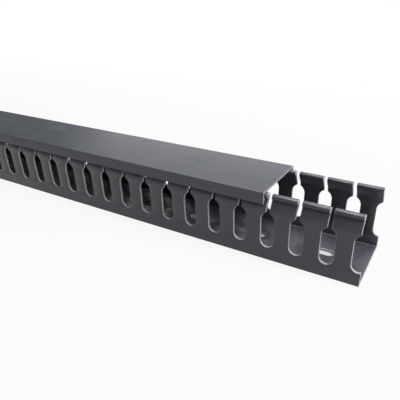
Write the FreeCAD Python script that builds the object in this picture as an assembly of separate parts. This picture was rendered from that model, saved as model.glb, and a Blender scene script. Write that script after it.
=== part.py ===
import FreeCAD, Part
import math
import os

# Slotted wiring duct: an extruded channel with slotted walls, and the cover that snaps over it.
# All sizes are in millimetres. X runs along the duct, Y across it and Z up.
# The origin is the middle of the channel's underside.

# Channel, as extruded
LENGTH = 1000.0             # sawn square at both ends
WIDTH = 51.0                # over the outer faces of the two walls, and over the cover
WALL_HEIGHT = 47.6          # underside to the top of the lips
WALL = 1.7                  # thickness of the plain walls
FLOOR = 1.9                 # thickness of the floor
OUTER_CORNER = 1.0          # rounding along the underside
INNER_CORNER = 0.9          # rounding between floor and wall

# Head of each wall, which leans inwards and ends in a lip turned outwards
HEAD_HEIGHT = 9.7           # top of the lip down to the knuckle where the lean begins
LEAN = 3.4                  # outer face of the head, inwards of the wall, under the lip
HEAD_THICKNESS = 2.6        # head measured across, at the lip's underside
KNUCKLE = 10.0              # rounding of the knuckle
LIP_HEIGHT = 3.0            # outer face of the lip
LIP_INSET = 2.1             # outer face of the lip, inwards of the wall
LIP_EDGE = 2.35             # rounding along the lip's top outer edge
LIP_LOWER_EDGE = 0.5        # rounding along the lip's lower edge
CROWN = 1.9                 # rounding from the lip's top into the head's inner face

# Slots punched through both walls, open at the top through a narrow neck
PITCH = 20.0
FIRST_SLOT = 1.9            # right end back to the middle of the near wall's slot that it cuts through
FAR_SHIFT = 2.1             # the far wall's slots stand this much further to the right
SLOT_WIDTH = 9.4
SLOT_BOTTOM = 9.9           # underside of the channel to the rounded bottom of the slots
NECK_WIDTH = 2.6
NECK_DEPTH = 11.8           # top of the lip down to where the neck opens into the slot
SHOULDER = 6.4              # radius of the shoulders between neck and slot

# Mounting slots punched in the floor
MOUNT_PITCH = 50.0
FIRST_MOUNT = 31.0          # right end of the channel to the middle of the first of them
MOUNT_LENGTH = 16.0
MOUNT_WIDTH = 7.0

# Cover, as extruded
COVER_LENGTH = 1000.0
COVER_SETBACK = 65.3        # how far the cover's right end stands back from the channel's
COVER_TOP = 1.3             # thickness of the flat top
COVER_SEAT = 0.2            # clearance between the lips' top and the cover
COVER_EDGE = 0.35           # rounding along the long outer edges
COVER_INNER_CORNER = 0.4    # rounding between top and flange
FLANGE = 1.25               # thickness of the flanges
FLANGE_HEIGHT = 8.3         # top of the cover down to the flanges' lower edge
FLANGE_EDGE = 0.3           # rounding along the flanges' lower edge
BEAD_REACH = 1.3            # nose of the snap bead, inwards of the flange
BEAD_GAP = 0.3              # clearance between the bead and the lip's underside
BEAD_NOSE = 0.6             # height of the nose
BEAD_RAMP = 1.4             # height of the lead-in below the nose
BEAD_EDGE = 0.2             # rounding of the nose

OVERCUT = 5.0               # how far a punch runs past the faces that it goes through
SHORTEST_RUN = 1e-5         # two roundings closer than this meet without a line between them

HALF_WIDTH = WIDTH / 2
RIGHT_END = LENGTH / 2
LEFT_END = -LENGTH / 2


def v(x, y, z):
    return FreeCAD.Vector(x, y, z)


# Sections are lists of corners (d, z, rounding), with d measured inwards from the wall's outer face

def channel_corners():
    """Near half of the channel's section, from the outer bottom corner round to the floor."""
    knuckle_z = WALL_HEIGHT - HEAD_HEIGHT
    lip_z = WALL_HEIGHT - LIP_HEIGHT
    inner_slope = (LEAN + HEAD_THICKNESS - WALL) / (lip_z - knuckle_z)
    crown_d = WALL + inner_slope * HEAD_HEIGHT
    return [
        (0, 0, OUTER_CORNER),
        (0, knuckle_z, KNUCKLE),
        (LEAN, lip_z, 0),
        (LIP_INSET, lip_z, LIP_LOWER_EDGE),
        (LIP_INSET, WALL_HEIGHT, LIP_EDGE),
        (crown_d, WALL_HEIGHT, CROWN),
        (WALL, knuckle_z, KNUCKLE),
        (WALL, FLOOR, INNER_CORNER),
    ]


def cover_corners():
    """Near half of the cover's section, from the outer top corner round to the underside."""
    under_z = WALL_HEIGHT + COVER_SEAT
    top_z = under_z + COVER_TOP
    low_z = top_z - FLANGE_HEIGHT
    bead_top_z = WALL_HEIGHT - LIP_HEIGHT - BEAD_GAP
    nose_z = bead_top_z - BEAD_NOSE
    nose_d = FLANGE + BEAD_REACH
    return [
        (0, top_z, COVER_EDGE),
        (0, low_z, FLANGE_EDGE),
        (FLANGE, low_z, FLANGE_EDGE),
        (FLANGE, nose_z - BEAD_RAMP, 0),
        (nose_d, nose_z, BEAD_EDGE),
        (nose_d, bead_top_z, BEAD_EDGE),
        (FLANGE, bead_top_z, 0),
        (FLANGE, under_z, COVER_INNER_CORNER),
    ]


def both_halves(corners, x):
    """The whole section at x: the near half's corners, then the far half's in mirror image."""
    near = [(v(x, d - HALF_WIDTH, z), r) for d, z, r in corners]
    far = [(v(x, HALF_WIDTH - d, z), r) for d, z, r in reversed(corners)]
    return near + far


def corner_angle(before, corner, after):
    """Half of the angle between the two runs that meet at a corner."""
    return (before - corner).getAngle(after - corner) / 2


def round_runs(points, radii):
    """How far each rounding reaches along its two runs; two that would meet on a run share it."""
    count = len(points)
    wanted = []
    for i, radius in enumerate(radii):
        half_angle = corner_angle(points[i - 1], points[i], points[(i + 1) % count])
        wanted.append(radius / math.tan(half_angle))
    runs = list(wanted)
    for i in range(count):
        j = (i + 1) % count
        length = (points[j] - points[i]).Length
        together = wanted[i] + wanted[j]
        if together > length:
            runs[i] = min(runs[i], wanted[i] * length / together)
            runs[j] = min(runs[j], wanted[j] * length / together)
    return runs


def corner_arc(before, corner, after, run):
    """Start, middle and end of the round that leaves both runs at the same distance from a corner."""
    half_angle = corner_angle(before, corner, after)
    back = (before - corner).normalize()
    ahead = (after - corner).normalize()
    bisector = (back + ahead).normalize()
    to_middle = run / math.cos(half_angle) - run * math.tan(half_angle)
    return corner + back * run, corner + bisector * to_middle, corner + ahead * run


def rounded_face(section):
    """A flat face whose outline runs from corner to corner, each with its own rounding."""
    points = [corner for corner, radius in section]
    runs = round_runs(points, [radius for corner, radius in section])
    edges = []
    ends = []
    for i, (corner, run) in enumerate(zip(points, runs)):
        if run == 0:
            ends.append((corner, corner))
            continue
        start, middle, end = corner_arc(points[i - 1], corner, points[(i + 1) % len(points)], run)
        edges.append(Part.Arc(start, middle, end).toShape())
        ends.append((start, end))
    for i, (start, end) in enumerate(ends):
        before = ends[i - 1][1]
        if (start - before).Length > SHORTEST_RUN:
            edges.append(Part.makeLine(before, start))
    return Part.Face(Part.Wire(Part.sortEdges(edges)[0]))


def extrusion(corners, left, length):
    face = rounded_face(both_halves(corners, left))
    return face.extrude(v(length, 0, 0))


def slot_punch(x, y):
    """Punch for the slot at x, from y across one wall: neck, shoulders, sides and round bottom."""
    half = SLOT_WIDTH / 2
    neck = NECK_WIDTH / 2
    sweep = math.acos(1 - (half - neck) / SHOULDER)
    neck_z = WALL_HEIGHT - NECK_DEPTH
    side_z = neck_z - SHOULDER * math.sin(sweep)
    bottom_z = SLOT_BOTTOM + half
    top_z = WALL_HEIGHT + OVERCUT
    shoulder_x = half - SHOULDER * (1 - math.cos(sweep / 2))
    shoulder_z = side_z + SHOULDER * math.sin(sweep / 2)

    def at(dx, z):
        return v(x + dx, y, z)

    edges = [
        Part.makeLine(at(-neck, top_z), at(-neck, neck_z)),
        Part.Arc(at(-neck, neck_z), at(-shoulder_x, shoulder_z), at(-half, side_z)).toShape(),
        Part.makeLine(at(-half, side_z), at(-half, bottom_z)),
        Part.Arc(at(-half, bottom_z), at(0, SLOT_BOTTOM), at(half, bottom_z)).toShape(),
        Part.makeLine(at(half, bottom_z), at(half, side_z)),
        Part.Arc(at(half, side_z), at(shoulder_x, shoulder_z), at(neck, neck_z)).toShape(),
        Part.makeLine(at(neck, neck_z), at(neck, top_z)),
        Part.makeLine(at(neck, top_z), at(-neck, top_z)),
    ]
    return Part.Face(Part.Wire(edges)).extrude(v(0, HALF_WIDTH + OVERCUT, 0))


def end_clearance(left, y):
    """Clears what a sawn end would leave standing loose past the middle of the slot that it cuts."""
    half = SLOT_WIDTH / 2
    bottom_z = SLOT_BOTTOM + half
    height = WALL_HEIGHT + OVERCUT - bottom_z
    return Part.makeBox(half, HALF_WIDTH + OVERCUT, height, v(left, y, bottom_z))


def wall_punches(first, y):
    """Punches for one wall, from the slot whose middle is this far from the channel's right end."""
    half = SLOT_WIDTH / 2
    count = math.floor((LENGTH - first + half) / PITCH) + 1
    punches = []
    for i in range(count):
        x = RIGHT_END - first - i * PITCH
        punches.append(slot_punch(x, y))
        if x + half > RIGHT_END:
            punches.append(end_clearance(x, y))
        if x - half < LEFT_END:
            punches.append(end_clearance(x - half, y))
    return punches


def mount_punch(x):
    """Punch for the round-ended mounting slot at x in the floor."""
    half = MOUNT_WIDTH / 2
    straight = (MOUNT_LENGTH - MOUNT_WIDTH) / 2
    z = -OVERCUT
    edges = [
        Part.makeLine(v(x - straight, -half, z), v(x + straight, -half, z)),
        Part.Arc(v(x + straight, -half, z), v(x + straight + half, 0, z), v(x + straight, half, z)).toShape(),
        Part.makeLine(v(x + straight, half, z), v(x - straight, half, z)),
        Part.Arc(v(x - straight, half, z), v(x - straight - half, 0, z), v(x - straight, -half, z)).toShape(),
    ]
    return Part.Face(Part.Wire(edges)).extrude(v(0, 0, FLOOR + 2 * OVERCUT))


def floor_punches():
    """Mounting slots that lie whole within the channel."""
    count = math.floor((LENGTH - FIRST_MOUNT - MOUNT_LENGTH / 2) / MOUNT_PITCH) + 1
    return [mount_punch(RIGHT_END - FIRST_MOUNT - i * MOUNT_PITCH) for i in range(count)]


def slotted_channel():
    blank = extrusion(channel_corners(), LEFT_END, LENGTH)
    near = wall_punches(FIRST_SLOT, -HALF_WIDTH - OVERCUT)
    far = wall_punches(FIRST_SLOT - FAR_SHIFT, 0)
    punched = blank.cut(Part.makeCompound(near + far + floor_punches()))
    return punched.removeSplitter()


def clip_cover():
    left = RIGHT_END - COVER_SETBACK - COVER_LENGTH
    return extrusion(cover_corners(), left, COVER_LENGTH).removeSplitter()


def main():
    pieces = {
        "slotted_channel": slotted_channel(),
        "clip_cover": clip_cover(),
    }
    os.makedirs("parts", exist_ok=True)
    for name, shape in pieces.items():
        box = shape.BoundBox
        print(f"{name}: {len(shape.Solids)} solid, valid {shape.isValid()}, {shape.Volume / 1000:.2f} cm3,"
              f" X {box.XMin:.1f} to {box.XMax:.1f}, Z {box.ZMin:.2f} to {box.ZMax:.2f}")
        shape.exportStep(f"parts/{name}.step")


main()
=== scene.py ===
import logging
import math
from dataclasses import dataclass, field
from enum import Enum
from typing import Self

import bpy
import numpy as np
from mathutils import Euler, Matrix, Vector


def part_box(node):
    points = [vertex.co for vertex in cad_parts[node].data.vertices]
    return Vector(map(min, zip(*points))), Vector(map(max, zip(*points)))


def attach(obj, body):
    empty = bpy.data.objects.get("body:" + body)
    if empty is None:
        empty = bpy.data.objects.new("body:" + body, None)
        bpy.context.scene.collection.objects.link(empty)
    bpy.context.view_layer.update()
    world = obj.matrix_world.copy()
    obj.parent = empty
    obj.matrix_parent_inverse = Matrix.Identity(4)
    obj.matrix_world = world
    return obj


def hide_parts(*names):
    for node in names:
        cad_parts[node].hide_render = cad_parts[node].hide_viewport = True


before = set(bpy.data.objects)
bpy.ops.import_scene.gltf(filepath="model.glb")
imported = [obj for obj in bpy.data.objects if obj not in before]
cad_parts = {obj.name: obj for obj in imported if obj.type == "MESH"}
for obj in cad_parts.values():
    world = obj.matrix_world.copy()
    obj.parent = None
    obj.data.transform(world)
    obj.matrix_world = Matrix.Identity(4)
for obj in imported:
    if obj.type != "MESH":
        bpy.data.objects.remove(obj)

# Slotted wiring duct: a channel whose walls are punched into fingers, and the cover that clips over
# their heads. X runs along the duct, Y across it and Z up. All lengths are in metres, and those of
# the pieces are written as millimetres times MM.

log = logging.getLogger("wiring_duct")

Colour = tuple[float, float, float]
Place = tuple[float, float, float]
Corner = tuple[float, float, float]
Tree = bpy.types.NodeTree
Socket = bpy.types.NodeSocket

MM = 0.001
ARC_STEPS = 8                       # flats along each rounding
EDGE_STEPS = 2                      # flats across each broken edge
OVERCUT = 5 * MM                    # how far a punch runs past the faces that it goes through
SAME_POINT = 0.001 * MM             # outline points closer than this are one point
SMOOTH_BELOW = math.radians(32)     # an edge that bends less than this is shaded smooth


class Cut(Enum):
    """Which of a piece's two finishes a face has; the value is its material slot."""

    EXTRUDED = 0
    SAWN = 1


class Wall(Enum):
    """A side wall of the channel; the value is the sign of Y on its side."""

    NEAR = -1
    FAR = 1


# Outlines and swept shapes

def rounded_outline(corners: np.ndarray) -> np.ndarray:
    """Closed outline whose corners are rounded by arcs tangent to both runs.

    At a corner with half angle h, a rounding of radius r leaves each run r / tan(h) before the
    corner. Two roundings that would meet on a run share it in proportion. The arc's centre lies on
    the bisector, and its points are the start and end radii blended by sines of the swept angle.

    Args:
        corners: rows of (u, v, radius) in order around the outline.

    Returns:
        Rows of (u, v), with one row for each sharp corner and ARC_STEPS + 1 for each rounded one.
    """
    here, radius = corners[:, :2], corners[:, 2]
    back = np.roll(here, 1, axis=0) - here
    ahead = np.roll(here, -1, axis=0) - here
    length = np.linalg.norm(ahead, axis=1)
    back = back / np.linalg.norm(back, axis=1)[:, None]
    ahead = ahead / length[:, None]
    half = np.arccos(np.clip(np.sum(back * ahead, axis=1), -1, 1)) / 2
    wanted = radius / np.tan(half)
    both = np.maximum(wanted + np.roll(wanted, -1), SAME_POINT)
    share = np.minimum(1, length / both)
    run = wanted * np.minimum(share, np.roll(share, 1))
    bisector = back + ahead
    bisector = bisector / np.linalg.norm(bisector, axis=1)[:, None]
    centre = here + bisector * (run / np.cos(half))[:, None]
    first = here + back * run[:, None] - centre
    last = here + ahead * run[:, None] - centre
    sweep = (math.pi - 2 * half)[:, None, None]
    t = np.linspace(0, 1, ARC_STEPS + 1)[None, :, None]
    blend = np.sin((1 - t) * sweep) * first[:, None] + np.sin(t * sweep) * last[:, None]
    points = centre[:, None] + blend / np.sin(sweep)
    keep = (run[:, None] > 0) | (np.arange(ARC_STEPS + 1)[None, :] == 0)
    outline = points[keep]
    apart = np.linalg.norm(outline - np.roll(outline, 1, axis=0), axis=1) > SAME_POINT
    return outline[apart]


def signed_volume(prism: np.ndarray, quads: np.ndarray) -> float:
    """A number with the sign of a prism's volume.

    It is the sum over the side faces of their middle . their normal, seen from the prism's middle.

    Args:
        prism: the points of both caps.
        quads: the four points of each side face.

    Returns:
        More than 0 where the side faces turn outwards.
    """
    points = prism.reshape(-1, 3) - prism.reshape(-1, 3).mean(axis=0)
    a, b, c, d = (points[quads[:, m]] for m in range(4))
    return float(np.sum((a + c) * np.cross(c - a, d - b)))


def swept_mesh(name: str, outline: np.ndarray, travel: np.ndarray, places: np.ndarray,
               sides: Cut, caps: Cut) -> bpy.types.Mesh:
    """One closed prism at each place: the outline carried in a straight line along travel.

    Vertex (k, e, i) is places[k] + e * travel + outline[i], with e of 0 at one cap and 1 at the
    other, so every side is a quad between neighbouring outline points and each cap is one face.

    Args:
        name: name of the mesh.
        outline: (n, 3) points of the closed outline.
        travel: vector from one cap to the other.
        places: (k, 3) offsets, one for each prism.
        sides: finish of the side faces.
        caps: finish of the two caps.

    Returns:
        The mesh, with its faces turned outwards.
    """
    n, k = len(outline), len(places)
    ends = np.array([0.0, 1.0])[None, :, None, None] * travel
    points = places[:, None, None, :] + ends + outline[None, None, :, :]
    i = np.arange(n)
    j = (i + 1) % n
    start = np.arange(k) * 2 * n
    side = np.stack([i, j, j + n, i + n], axis=1)
    quads = (start[:, None, None] + side[None]).reshape(-1, 4)
    ring = start[:, None] + i[None, :]
    faces = quads.tolist() + ring[:, ::-1].tolist() + (ring + n).tolist()
    mesh = bpy.data.meshes.new(name)
    mesh.from_pydata(points.reshape(-1, 3).tolist(), [], faces)
    slots = np.full(len(faces), sides.value, np.int32)
    slots[len(quads):] = caps.value
    mesh.polygons.foreach_set("material_index", slots)
    if signed_volume(points[0], quads[:n]) < 0:
        mesh.flip_normals()
    mesh.update()
    return mesh


def shown_object(name: str, mesh: bpy.types.Mesh,
                 materials: list[bpy.types.Material]) -> bpy.types.Object:
    """Puts a mesh in the scene at the origin.

    Args:
        name: name of the object.
        mesh: the mesh, in place.
        materials: one material for each value that the faces' material index takes.

    Returns:
        The object.
    """
    for material in materials:
        mesh.materials.append(material)
    thing = bpy.data.objects.new(name, mesh)
    bpy.context.scene.collection.objects.link(thing)
    return thing


def baked(thing: bpy.types.Object) -> bpy.types.Object:
    """Replaces an object's mesh by the result of its modifiers, and removes the modifiers.

    Args:
        thing: the object with live modifiers.

    Returns:
        The same object.
    """
    graph = bpy.context.evaluated_depsgraph_get()
    graph.update()
    result = bpy.data.meshes.new_from_object(thing.evaluated_get(graph))
    thing.modifiers.clear()
    old, name = thing.data, thing.data.name
    thing.data = result
    bpy.data.meshes.remove(old)
    result.name = name
    return thing


def cut_away(thing: bpy.types.Object, punches: list[bpy.types.Mesh]) -> bpy.types.Object:
    """Cuts each punch out of an object in turn; the cut faces keep the punch's finish.

    Args:
        thing: the object that is cut.
        punches: closed meshes, which are used up.

    Returns:
        The same object.
    """
    materials = list(thing.data.materials)
    for mesh in punches:
        tool = shown_object(f"{mesh.name}_tool", mesh, materials)
        step = thing.modifiers.new(mesh.name, "BOOLEAN")
        step.operation = "DIFFERENCE"
        step.solver = "EXACT"
        step.object = tool
        baked(thing)
        bpy.data.objects.remove(tool)
        bpy.data.meshes.remove(mesh)
    return thing


def break_edges(thing: bpy.types.Object, width: float) -> bpy.types.Object:
    """Breaks every edge where a sawn or punched face meets an extruded one; the chamfer takes the pale
    cut colour, a painted highlight along the edge that partly stands for a real burr.

    An edge is broken where the lowest and the highest finish among its faces differ. Then edges
    sharper than SMOOTH_BELOW stay sharp and the rest are shaded smooth.

    Args:
        thing: the object, with the finish of each face in its material index.
        width: how far the break reaches along each face.

    Returns:
        The same object, with the broken edges in its mesh.
    """
    mesh = thing.data
    edge = np.empty(len(mesh.loops), np.int32)
    mesh.loops.foreach_get("edge_index", edge)
    corners = np.empty(len(mesh.polygons), np.int32)
    mesh.polygons.foreach_get("loop_total", corners)
    finish = np.empty(len(mesh.polygons), np.int32)
    mesh.polygons.foreach_get("material_index", finish)
    by_corner = np.repeat(finish, corners)
    lowest = np.full(len(mesh.edges), len(Cut), np.int32)
    highest = np.full(len(mesh.edges), -1, np.int32)
    np.minimum.at(lowest, edge, by_corner)
    np.maximum.at(highest, edge, by_corner)
    weight = mesh.attributes.new("bevel_weight_edge", "FLOAT", "EDGE")
    weight.data.foreach_set("value", (lowest != highest).astype(np.float32))
    bevel = thing.modifiers.new("broken_edges", "BEVEL")
    bevel.limit_method = "WEIGHT"
    bevel.width = width
    bevel.segments = EDGE_STEPS
    # The chamfers take the pale cut colour: a painted highlight along every cut edge, partly a real
    # burr.
    bevel.material = Cut.SAWN.value
    bevel.use_clamp_overlap = False
    baked(thing)
    thing.data.shade_smooth()
    thing.data.set_sharp_from_angle(angle=SMOOTH_BELOW)
    return thing


# Effects shared by the finishes

def new_group(name: str, inputs: dict[str, float], outputs: list[str]) -> Tree:
    """An empty shader group that takes Object coordinates and named numbers.

    Args:
        name: name of the group.
        inputs: default of each number that the group takes.
        outputs: names of the values that the group puts out.

    Returns:
        The node tree, with its group input and output nodes.
    """
    tree = bpy.data.node_groups.new(name, "ShaderNodeTree")
    tree.interface.new_socket("Vector", in_out="INPUT", socket_type="NodeSocketVector")
    for label, value in inputs.items():
        socket = tree.interface.new_socket(label, in_out="INPUT", socket_type="NodeSocketFloat")
        socket.default_value = value
    for label in outputs:
        tree.interface.new_socket(label, in_out="OUTPUT", socket_type="NodeSocketFloat")
    tree.nodes.new("NodeGroupInput").name = "in"
    tree.nodes.new("NodeGroupOutput").name = "out"
    return tree


def math_node(tree: Tree, operation: str, *values: Socket | float) -> Socket:
    """A Math node on sockets or plain numbers.

    Args:
        tree: tree that the node goes in.
        operation: the Math node's operation.
        values: up to three sockets or numbers.

    Returns:
        The node's output socket.
    """
    node = tree.nodes.new("ShaderNodeMath")
    node.operation = operation
    for socket, value in zip(node.inputs, values):
        if isinstance(value, (int, float)):
            socket.default_value = value
        else:
            tree.links.new(value, socket)
    return node.outputs[0]


@dataclass(frozen=True)
class Noise:
    """A noise texture in a shader group, on coordinates first stretched along each axis."""

    scale: float
    detail: float
    stretch: tuple[float, float, float] = (1, 1, 1)

    def value(self, tree: Tree) -> Socket:
        """Puts the noise in a group, on the group's coordinates.

        Args:
            tree: the group.

        Returns:
            The noise's value, from 0 to 1.
        """
        mapping = tree.nodes.new("ShaderNodeMapping")
        mapping.inputs["Scale"].default_value = self.stretch
        tree.links.new(tree.nodes["in"].outputs["Vector"], mapping.inputs["Vector"])
        texture = tree.nodes.new("ShaderNodeTexNoise")
        texture.inputs["Scale"].default_value = self.scale
        texture.inputs["Detail"].default_value = self.detail
        tree.links.new(mapping.outputs["Vector"], texture.inputs["Vector"])
        return texture.outputs["Fac"]


DIE_STREAKS = Noise(900, 2, (0.012, 1, 1))
DIE_WAVES = Noise(26, 2, (0.45, 1, 1))
SKIN_GRAIN = Noise(2600, 1)
BROAD_SCUFFS = Noise(38, 3, (0.6, 1, 1))
FINE_SCUFFS = Noise(210, 4, (0.35, 1, 1))
SAW_STREAKS = Noise(1500, 3, (1, 0.2, 1))


def die_lines_group() -> Tree:
    """Marks that an extrusion die leaves: fine lines along X, a soft waviness and a matt grain.

    Height is the streaks times Lines, plus the waves times Waviness, plus the grain times Grain.
    Tone is the mean of the streaks and the waves.

    Returns:
        The group.
    """
    tree = new_group("die_lines", {"Lines": 0.3, "Waviness": 1.0, "Grain": 0.2}, ["Height", "Tone"])
    socket = tree.nodes["in"].outputs
    streaks = DIE_STREAKS.value(tree)
    waves = DIE_WAVES.value(tree)
    grain = SKIN_GRAIN.value(tree)
    height = math_node(tree, "MULTIPLY", streaks, socket["Lines"])
    height = math_node(tree, "MULTIPLY_ADD", waves, socket["Waviness"], height)
    height = math_node(tree, "MULTIPLY_ADD", grain, socket["Grain"], height)
    tone = math_node(tree, "MULTIPLY", math_node(tree, "ADD", streaks, waves), 0.5)
    tree.links.new(height, tree.nodes["out"].inputs["Height"])
    tree.links.new(tone, tree.nodes["out"].inputs["Tone"])
    return tree


def put_out_mask(tree: Tree, value: Socket) -> None:
    """Puts out a group's Mask: a value spread so that From becomes 0 and To becomes 1.

    Args:
        tree: the group, with sockets From, To and Mask.
        value: the value that is spread.
    """
    socket = tree.nodes["in"].outputs
    spread = tree.nodes.new("ShaderNodeMapRange")
    tree.links.new(value, spread.inputs["Value"])
    tree.links.new(socket["From"], spread.inputs["From Min"])
    tree.links.new(socket["To"], spread.inputs["From Max"])
    tree.links.new(spread.outputs["Result"], tree.nodes["out"].inputs["Mask"])


def handling_marks_group() -> Tree:
    """Soft scuffs from handling, where two noises of different size are both high.

    Mask is the product of the noises, spread between From and To.

    Returns:
        The group.
    """
    tree = new_group("handling_marks", {"From": 0.27, "To": 0.42}, ["Mask"])
    put_out_mask(tree, math_node(tree, "MULTIPLY", BROAD_SCUFFS.value(tree), FINE_SCUFFS.value(tree)))
    return tree


def torn_edge_group() -> Tree:
    """Marks that a punch or saw leaves on the plastic's edge: fine streaks and whitened specks.

    Height is a fine noise drawn out along Y, and Mask the same noise spread between From and To.

    Returns:
        The group.
    """
    tree = new_group("torn_edge", {"From": 0.45, "To": 0.7}, ["Height", "Mask"])
    streaks = SAW_STREAKS.value(tree)
    tree.links.new(streaks, tree.nodes["out"].inputs["Height"])
    put_out_mask(tree, streaks)
    return tree


@dataclass(frozen=True)
class Effects:
    """The node groups that the finishes share."""

    die_lines: Tree
    handling_marks: Tree
    torn_edge: Tree

    @classmethod
    def build(cls) -> Self:
        """Makes each group once."""
        return cls(die_lines_group(), handling_marks_group(), torn_edge_group())


# Finishes

def colour_mix(tree: Tree, factor: Socket, low: Colour, high: Colour) -> Socket:
    """A colour between two others.

    Args:
        tree: tree of the material.
        factor: 0 for the low colour and 1 for the high one.
        low: the low colour.
        high: the high colour.

    Returns:
        The colour's socket.
    """
    ramp = tree.nodes.new("ShaderNodeValToRGB")
    ramp.color_ramp.elements[0].color = (*low, 1)
    ramp.color_ramp.elements[1].color = (*high, 1)
    tree.links.new(factor, ramp.inputs["Fac"])
    return ramp.outputs["Color"]


def placed(tree: Tree, group: Tree, **values: float) -> bpy.types.Node:
    """Puts a shared group in a material, on Object coordinates.

    Args:
        tree: tree of the material.
        group: the shared group.
        values: the material's own values for the group's named inputs.

    Returns:
        The group's node.
    """
    node = tree.nodes.new("ShaderNodeGroup")
    node.node_tree = group
    coordinates = tree.nodes.get("coordinates")
    if coordinates is None:
        coordinates = tree.nodes.new("ShaderNodeTexCoord")
        coordinates.name = "coordinates"
    tree.links.new(coordinates.outputs["Object"], node.inputs["Vector"])
    for label, value in values.items():
        node.inputs[label].default_value = value
    return node


def start_material(name: str) -> tuple[bpy.types.Material, bpy.types.Node]:
    """Starts a material with nodes.

    Args:
        name: name of the material.

    Returns:
        The material and its Principled BSDF.
    """
    material = bpy.data.materials.new(name)
    material.use_nodes = True
    return material, material.node_tree.nodes["Principled BSDF"]


def bumped(tree: Tree, shader: bpy.types.Node, height: Socket, depth: float) -> None:
    """Feeds a height to a shader's normal.

    Args:
        tree: tree of the material.
        shader: the Principled BSDF.
        height: the height, from 0 to 1.
        depth: how deep a height of 1 is.
    """
    bump = tree.nodes.new("ShaderNodeBump")
    bump.inputs["Distance"].default_value = depth
    tree.links.new(height, bump.inputs["Height"])
    tree.links.new(bump.outputs["Normal"], shader.inputs["Normal"])


@dataclass(frozen=True)
class ExtrudedFinish:
    """Semi-matt dark grey PVC as it leaves the die.

    The colour wanders a little with the die lines, scuffs are slightly rougher, and the surface has
    the lines, waviness and grain of the die.
    """

    name: str
    dark: Colour
    pale: Colour
    roughness: float = 0.36
    scuffed: float = 0.5
    waviness: float = 1.0
    depth: float = 0.05 * MM

    def material(self, effects: Effects) -> bpy.types.Material:
        """Builds the material.

        Args:
            effects: the shared node groups.

        Returns:
            The finished material.
        """
        material, shader = start_material(self.name)
        tree = material.node_tree
        lines = placed(tree, effects.die_lines, Waviness=self.waviness)
        scuffs = placed(tree, effects.handling_marks).outputs["Mask"]
        colour = colour_mix(tree, lines.outputs["Tone"], self.dark, self.pale)
        tree.links.new(colour, shader.inputs["Base Color"])
        rise = self.scuffed - self.roughness
        rough = math_node(tree, "MULTIPLY_ADD", scuffs, rise, self.roughness)
        tree.links.new(rough, shader.inputs["Roughness"])
        bumped(tree, shader, lines.outputs["Height"], self.depth)
        return material


@dataclass(frozen=True)
class SawnFinishWithHighlight:
    """The same PVC where a punch or saw has cut it: matt, paler and specked with white; the paleness is
    partly the cut's real whitening and partly painted highlight.
    """

    name: str
    dark: Colour
    pale: Colour
    roughness: float = 0.62
    depth: float = 0.06 * MM

    def material(self, effects: Effects) -> bpy.types.Material:
        """Builds the material.

        Args:
            effects: the shared node groups.

        Returns:
            The finished material.
        """
        material, shader = start_material(self.name)
        tree = material.node_tree
        torn = placed(tree, effects.torn_edge)
        colour = colour_mix(tree, torn.outputs["Mask"], self.dark, self.pale)
        tree.links.new(colour, shader.inputs["Base Color"])
        shader.inputs["Roughness"].default_value = self.roughness
        bumped(tree, shader, torn.outputs["Height"], self.depth)
        return material


CHANNEL_FACE = ExtrudedFinish("channel_face", (0.0465, 0.0445, 0.059), (0.059, 0.0565, 0.075))
COVER_FACE = ExtrudedFinish("cover_face", (0.042, 0.047, 0.059), (0.054, 0.06, 0.075),
                            roughness=0.3, waviness=1.6)
# Cut faces: a pale colour that is partly real whitening and partly painted highlight for the light from
# the right falling on them.
CHANNEL_CUT_WITH_HIGHLIGHT = SawnFinishWithHighlight("channel_cut_with_highlight", (0.4, 0.4, 0.41), (0.56, 0.56, 0.57))
COVER_CUT_WITH_HIGHLIGHT = SawnFinishWithHighlight("cover_cut_with_highlight", (0.28, 0.28, 0.29), (0.4, 0.4, 0.41))


# The duct's two pieces

@dataclass
class Extrusion:
    """A straight piece along X with one section from end to end, sawn off at both."""

    half_width: float
    left: float
    right: float
    low: float
    top: float

    @classmethod
    def from_frame(cls, node: str) -> Self:
        """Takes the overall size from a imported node.

        Args:
            node: name of the node.

        Returns:
            The piece, with its other sizes at their defaults.
        """
        low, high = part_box(node)
        return cls(half_width=high.y, left=low.x, right=high.x, low=low.z, top=high.z)

    @property
    def length(self) -> float:
        """From end to end."""
        return self.right - self.left

    def whole_section(self, corners: list[Corner]) -> np.ndarray:
        """Rounded outline of a section from the corners of its near half.

        The far half is the near half's mirror image in Y, in reverse order.

        Args:
            corners: (d, z, radius), with d measured inwards from the outermost face.

        Returns:
            Rows of (y, z) around the section.
        """
        near = np.array(corners)
        near[:, 0] -= self.half_width
        far = near[::-1] * np.array([-1, 1, 1])
        return rounded_outline(np.vstack([near, far]))

    def carried(self, name: str, section: np.ndarray) -> bpy.types.Mesh:
        """Carries a section along X from the left end to the right end.

        Args:
            name: name of the mesh.
            section: rows of (y, z) around the section.

        Returns:
            The mesh, with extruded sides and sawn ends.
        """
        outline = np.column_stack([np.zeros(len(section)), section])
        travel = np.array([self.length, 0, 0])
        start = np.array([[self.left, 0, 0]])
        return swept_mesh(name, outline, travel, start, Cut.EXTRUDED, Cut.SAWN)


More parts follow.
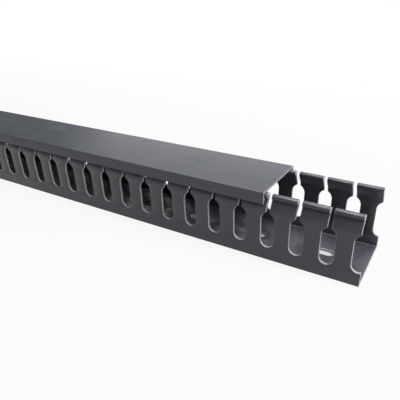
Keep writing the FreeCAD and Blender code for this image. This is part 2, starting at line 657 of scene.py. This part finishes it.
@dataclass
class SlottedChannel(Extrusion):
    """The U-shaped extrusion with slots punched in its walls and floor.

    Slots and mounting slots are counted from the right end: first_slot and first_mount are the
    distances from that end to the middle of the first one.
    """

    wall: float = 1.7 * MM
    floor: float = 1.9 * MM
    outer_corner: float = 1.0 * MM
    inner_corner: float = 0.9 * MM
    head_height: float = 9.7 * MM       # from the top down to where the wall turns inwards
    lean: float = 3.4 * MM              # how far in the outer face has come under the lip
    head_thickness: float = 2.6 * MM    # across the wall there
    knuckle: float = 10.0 * MM          # radius where the wall turns inwards
    lip_height: float = 3.0 * MM
    lip_inset: float = 2.1 * MM         # from the wall's outer face in to the lip's face
    lip_edge: float = 2.35 * MM
    lip_lower_edge: float = 0.5 * MM
    crown: float = 1.9 * MM             # radius of the head's inner top edge
    pitch: float = 20 * MM
    first_slot: dict[Wall, float] = field(
        default_factory=lambda: {Wall.NEAR: 1.9 * MM, Wall.FAR: -0.2 * MM})
    slot_width: float = 9.4 * MM
    slot_bottom: float = 9.9 * MM       # height of a slot's lowest point
    neck_width: float = 2.6 * MM
    neck_depth: float = 11.8 * MM       # from the top down to the neck's lower end
    shoulder: float = 6.4 * MM          # radius of the shoulders
    mount_pitch: float = 50 * MM
    first_mount: float = 31 * MM
    mount_length: float = 16 * MM
    mount_width: float = 7 * MM
    broken_edge: float = 0.2 * MM

    def section(self) -> np.ndarray:
        """Outline of the extrusion.

        From the floor each wall runs straight up to a rounded knuckle, leans inwards as far as the
        underside of the lip, steps out to the lip's face and comes back over a rounded crown.

        Returns:
            Rows of (y, z) around the section.
        """
        knuckle_z = self.top - self.head_height
        lip_z = self.top - self.lip_height
        slope = (self.lean + self.head_thickness - self.wall) / (lip_z - knuckle_z)
        return self.whole_section([
            (0, 0, self.outer_corner),
            (0, knuckle_z, self.knuckle),
            (self.lean, lip_z, 0),
            (self.lip_inset, lip_z, self.lip_lower_edge),
            (self.lip_inset, self.top, self.lip_edge),
            (self.wall + slope * self.head_height, self.top, self.crown),
            (self.wall, knuckle_z, self.knuckle),
            (self.wall, self.floor, self.inner_corner),
        ])

    def slot_outline(self) -> np.ndarray:
        """Outline of a wall slot: half circle, straight sides, shoulders and neck.

        With half widths a of the slot and n of the neck, a shoulder of radius R turns through the
        angle whose cosine is 1 - (a - n) / R.

        Returns:
            Rows of (x, z), with x of 0 in the slot's middle.
        """
        half, neck = self.slot_width / 2, self.neck_width / 2
        sweep = math.acos(1 - (half - neck) / self.shoulder)
        neck_z = self.top - self.neck_depth
        side_z = neck_z - self.shoulder * math.sin(sweep)
        turn = np.linspace(0, sweep, ARC_STEPS + 1)
        right_x = half - self.shoulder * (1 - np.cos(turn))
        right_z = side_z + self.shoulder * np.sin(turn)
        around = np.linspace(math.pi, 2 * math.pi, 2 * ARC_STEPS + 1)
        bowl_x = half * np.cos(around)
        bowl_z = self.slot_bottom + half + half * np.sin(around)
        above = self.top + OVERCUT
        x = np.concatenate([bowl_x, right_x, [neck, -neck], -right_x[::-1]])
        z = np.concatenate([bowl_z, right_z, [above, above], right_z[::-1]])
        return np.column_stack([x, z])

    def slot_places(self, side: Wall) -> np.ndarray:
        """X of the middle of every slot that reaches into a wall.

        Args:
            side: the wall.

        Returns:
            The places, from the right end to the left.
        """
        first = self.first_slot[side]
        count = math.floor((self.length - first + self.slot_width / 2) / self.pitch) + 1
        return self.right - first - self.pitch * np.arange(count)

    def wall_punches(self, side: Wall) -> bpy.types.Mesh:
        """The slot outline carried along Y through one wall, at every slot.

        Args:
            side: the wall.

        Returns:
            The punches as one mesh.
        """
        slot = self.slot_outline()
        outline = np.column_stack([slot[:, 0], np.zeros(len(slot)), slot[:, 1]])
        x = self.slot_places(side)
        places = np.zeros((len(x), 3))
        places[:, 0] = x
        places[:, 1] = side.value * (self.half_width + OVERCUT)
        travel = np.array([0, -side.value * self.half_width, 0])
        return swept_mesh(f"{side.name.lower()}_slots", outline, travel, places, Cut.SAWN, Cut.SAWN)

    def mount_punches(self) -> bpy.types.Mesh:
        """A round-ended slot carried along Z through the floor, at every mounting slot.

        Its ends are half circles about two points, each half the straight length from the middle.

        Returns:
            The punches as one mesh.
        """
        half, straight = self.mount_width / 2, (self.mount_length - self.mount_width) / 2
        turn = np.linspace(-math.pi / 2, math.pi / 2, 2 * ARC_STEPS + 1)
        x = np.concatenate([straight + half * np.cos(turn), -straight - half * np.cos(turn)])
        y = np.concatenate([half * np.sin(turn), -half * np.sin(turn)])
        outline = np.column_stack([x, y, np.full(len(x), -OVERCUT)])
        room = self.length - self.first_mount - self.mount_length / 2
        count = math.floor(room / self.mount_pitch) + 1
        places = np.zeros((count, 3))
        places[:, 0] = self.right - self.first_mount - self.mount_pitch * np.arange(count)
        travel = np.array([0, 0, self.floor + 2 * OVERCUT])
        return swept_mesh("mounting_slots", outline, travel, places, Cut.SAWN, Cut.SAWN)

    def end_clearance(self) -> bpy.types.Mesh:
        """A block that takes off the sliver which the saw leaves past the near wall's first slot.

        It reaches from the slot's middle to the slot's side, and from the bowl's centre upwards.

        Returns:
            The block.
        """
        half = self.slot_width / 2
        middle = self.right - self.first_slot[Wall.NEAR]
        side = middle + half
        below, above = self.slot_bottom + half, self.top + OVERCUT
        outline = np.array([[middle, 0, below], [side, 0, below], [side, 0, above], [middle, 0, above]])
        travel = np.array([0, self.half_width, 0])
        places = np.array([[0, -self.half_width - OVERCUT, 0]])
        return swept_mesh("end_clearance", outline, travel, places, Cut.SAWN, Cut.SAWN)

    def build(self, effects: Effects) -> bpy.types.Object:
        """Punches the extrusion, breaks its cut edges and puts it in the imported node's place.

        Args:
            effects: the shared node groups.

        Returns:
            The finished piece.
        """
        blank = self.carried("slotted_channel", self.section())
        finishes = [CHANNEL_FACE.material(effects), CHANNEL_CUT_WITH_HIGHLIGHT.material(effects)]
        piece = shown_object("slotted_channel_piece", blank, finishes)
        punches = [self.wall_punches(side) for side in Wall]
        cut_away(piece, [*punches, self.mount_punches(), self.end_clearance()])
        break_edges(piece, self.broken_edge)
        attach(piece, "channel")
        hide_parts("slotted_channel")
        return piece


@dataclass
class ClipCover(Extrusion):
    """The flat cover with two short flanges, each with a bead that clips under a lip."""

    thickness: float = 1.3 * MM
    edge: float = 0.35 * MM             # radius of the top's outer edges
    inner_corner: float = 0.4 * MM
    flange: float = 1.25 * MM           # thickness of a flange
    flange_edge: float = 0.3 * MM
    bead_reach: float = 1.3 * MM        # how far a bead stands in from its flange
    bead_top: float = 4.8 * MM          # from the cover's top down to the bead's
    bead_nose: float = 0.6 * MM         # height of the bead's upright face
    bead_ramp: float = 1.4 * MM         # height of the lead-in below it
    bead_edge: float = 0.2 * MM
    broken_edge: float = 0.15 * MM

    def section(self) -> np.ndarray:
        """Outline of the extrusion: top, flanges, and a bead with a lead-in on each.

        Returns:
            Rows of (y, z) around the section.
        """
        bead_z = self.top - self.bead_top
        nose_z = bead_z - self.bead_nose
        nose_d = self.flange + self.bead_reach
        return self.whole_section([
            (0, self.top, self.edge),
            (0, self.low, self.flange_edge),
            (self.flange, self.low, self.flange_edge),
            (self.flange, nose_z - self.bead_ramp, 0),
            (nose_d, nose_z, self.bead_edge),
            (nose_d, bead_z, self.bead_edge),
            (self.flange, bead_z, 0),
            (self.flange, self.top - self.thickness, self.inner_corner),
        ])

    def build(self, effects: Effects) -> bpy.types.Object:
        """Makes the extrusion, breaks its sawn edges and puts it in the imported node's place.

        Args:
            effects: the shared node groups.

        Returns:
            The finished piece.
        """
        blank = self.carried("clip_cover", self.section())
        finishes = [COVER_FACE.material(effects), COVER_CUT_WITH_HIGHLIGHT.material(effects)]
        piece = shown_object("clip_cover_piece", blank, finishes)
        break_edges(piece, self.broken_edge)
        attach(piece, "cover")
        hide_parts("clip_cover")
        return piece


# Studio

@dataclass(frozen=True)
class SoftBox:
    """A flat area lamp."""

    name: str
    place: Place
    size: tuple[float, float]
    watts: float
    lights: bool = True                 # False for a card that is only seen in reflections

    def build(self, aim: Place) -> bpy.types.Object:
        """Makes the lamp.

        Args:
            aim: the point that it looks at.

        Returns:
            The lamp's object.
        """
        lamp = bpy.data.lights.new(self.name, "AREA")
        lamp.shape = "RECTANGLE"
        lamp.size, lamp.size_y = self.size
        lamp.energy = self.watts
        thing = bpy.data.objects.new(self.name, lamp)
        thing.visible_diffuse = self.lights
        thing.location = self.place
        towards = Vector(aim) - Vector(self.place)
        thing.rotation_euler = towards.to_track_quat("-Z", "Y").to_euler()
        bpy.context.scene.collection.objects.link(thing)
        return thing


@dataclass
class Studio:
    """White floor and surroundings, soft boxes, and the camera at the photograph's place."""

    floor_size: float = 30.0
    floor_paint: Colour = (0.55, 0.55, 0.55)
    near_white: float = 0.88            # how much of the floor's look is plain white beside the duct
    far_away: float = 0.5               # from here outwards the floor looks plain white
    covered: tuple[float, float] = (499 * MM, 24.6 * MM)    # reach of the shaded floor in X and Y
    ambient: float = 0.1                # strength of the even light
    mirrored: float = 0.16              # how much more of the backdrop is seen in reflections
    boxes: tuple[SoftBox, ...] = (
        SoftBox("back_card", (0.2, 1.15, 0.75), (1.8, 1.1), 7, lights=False),
        SoftBox("top_card", (0.2, -0.22, 1.3), (1.3, 0.9), 23, lights=False),
        SoftBox("top", (0.5, 0.1, 1.2), (0.7, 0.6), 9.5),
        SoftBox("right", (1.55, 0.05, 0.95), (0.8, 0.8), 20),
    )
    aim: Place = (0.4, 0, 0.02)         # what the soft boxes look at
    camera_place: Place = (0.53159, -0.24388, 0.16324)
    camera_turn: tuple[float, float, float] = (62.0725, 0.7532, 30.0893)    # degrees
    lens: float = 37.967                # in millimetres, as the camera takes it
    sensor: float = 36.0                # likewise
    shift: tuple[float, float] = (-0.05, 0.025)
    nearest: float = 0.01               # what is closer to the camera isn't shown

    def build(self) -> None:
        """Makes the floor, the world, the lamps and the camera."""
        self.floor()
        self.world()
        for box in self.boxes:
            box.build(self.aim)
        self.camera()

    @staticmethod
    def seen(tree: Tree, mirrored: float) -> Socket:
        """How much of the white backdrop a ray sees.

        Args:
            tree: tree of the material or world.
            mirrored: what a reflected ray sees.

        Returns:
            1 for a ray from the camera or through glass, mirrored for a reflected one, else 0.
        """
        path = tree.nodes.new("ShaderNodeLightPath").outputs
        straight = math_node(tree, "MAXIMUM", path["Is Camera Ray"], path["Is Transmission Ray"])
        reflected = math_node(tree, "MULTIPLY", path["Is Glossy Ray"], mirrored)
        return math_node(tree, "MAXIMUM", straight, reflected)

    def white_share(self, tree: Tree) -> Socket:
        """How much of the floor's look is plain white.

        It is near_white at the duct, rises with the distance |Y| to 1 at far_away, and is 0 under
        the channel, where |X| and |Y| are both less than covered, so that the real shade there shows
        through the mounting slots.

        Args:
            tree: tree of the floor's material.

        Returns:
            The share, from 0 to 1.
        """
        coordinates = tree.nodes.new("ShaderNodeTexCoord")
        where = tree.nodes.new("ShaderNodeSeparateXYZ")
        tree.links.new(coordinates.outputs["Object"], where.inputs["Vector"])
        along = math_node(tree, "ABSOLUTE", where.outputs["X"])
        aside = math_node(tree, "ABSOLUTE", where.outputs["Y"])
        rise = tree.nodes.new("ShaderNodeMapRange")
        rise.inputs["From Max"].default_value = self.far_away
        rise.inputs["To Min"].default_value = self.near_white
        tree.links.new(aside, rise.inputs["Value"])
        past = math_node(tree, "GREATER_THAN", along, self.covered[0])
        beside = math_node(tree, "GREATER_THAN", aside, self.covered[1])
        clear = math_node(tree, "MAXIMUM", beside, past)
        return math_node(tree, "MULTIPLY", rise.outputs["Result"], clear)

    def floor_material(self) -> bpy.types.Material:
        """Pale paint, mixed with plain white for the rays that see the backdrop.

        Returns:
            The finished material.
        """
        material = bpy.data.materials.new("floor")
        material.use_nodes = True
        tree = material.node_tree
        tree.nodes.clear()
        paint = tree.nodes.new("ShaderNodeBsdfDiffuse")
        paint.inputs["Color"].default_value = (*self.floor_paint, 1)
        white = tree.nodes.new("ShaderNodeEmission")
        mix = tree.nodes.new("ShaderNodeMixShader")
        out = tree.nodes.new("ShaderNodeOutputMaterial")
        seen = self.seen(tree, mirrored=1)
        share = math_node(tree, "MULTIPLY", seen, self.white_share(tree))
        tree.links.new(share, mix.inputs[0])
        tree.links.new(paint.outputs[0], mix.inputs[1])
        tree.links.new(white.outputs[0], mix.inputs[2])
        tree.links.new(mix.outputs[0], out.inputs["Surface"])
        return material

    def floor(self) -> None:
        """A plain pale floor at Z = 0 that looks white and keeps a faint shadow."""
        half = self.floor_size / 2
        corners = [(-half, -half, 0), (half, -half, 0), (half, half, 0), (-half, half, 0)]
        mesh = bpy.data.meshes.new("floor")
        mesh.from_pydata(corners, [], [(0, 1, 2, 3)])
        floor = shown_object("floor", mesh, [self.floor_material()])

    def world(self) -> None:
        """Even soft light, seen as white by the camera."""
        world = bpy.data.worlds.new("studio")
        bpy.context.scene.world = world
        world.use_nodes = True
        tree = world.node_tree
        background = tree.nodes["Background"]
        background.inputs["Color"].default_value = (1, 1, 1, 1)
        seen = self.seen(tree, self.mirrored)
        strength = math_node(tree, "MULTIPLY_ADD", seen, 1 - self.ambient, self.ambient)
        tree.links.new(strength, background.inputs["Strength"])

    def camera(self) -> None:
        """The camera, at the place and turn that line the duct up with the photograph."""
        data = bpy.data.cameras.new("camera")
        data.sensor_width = self.sensor
        data.lens = self.lens
        data.shift_x, data.shift_y = self.shift
        data.clip_start = self.nearest
        thing = bpy.data.objects.new("camera", data)
        thing.location = self.camera_place
        thing.rotation_euler = Euler([math.radians(angle) for angle in self.camera_turn], "XYZ")
        bpy.context.scene.collection.objects.link(thing)
        bpy.context.scene.camera = thing


def main() -> None:
    """Builds the duct's pieces in order, then the studio."""
    logging.basicConfig(level=logging.INFO, format="%(name)s: %(message)s")
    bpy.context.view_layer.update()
    bpy.context.scene.view_settings.view_transform = "Standard"
    effects = Effects.build()
    for maker in (SlottedChannel.from_frame("slotted_channel"), ClipCover.from_frame("clip_cover")):
        piece = maker.build(effects)
        mesh = piece.data
        log.info("%s: %d faces, %d vertices", piece.name, len(mesh.polygons), len(mesh.vertices))
    Studio().build()


if __name__ == "__main__":
    main()
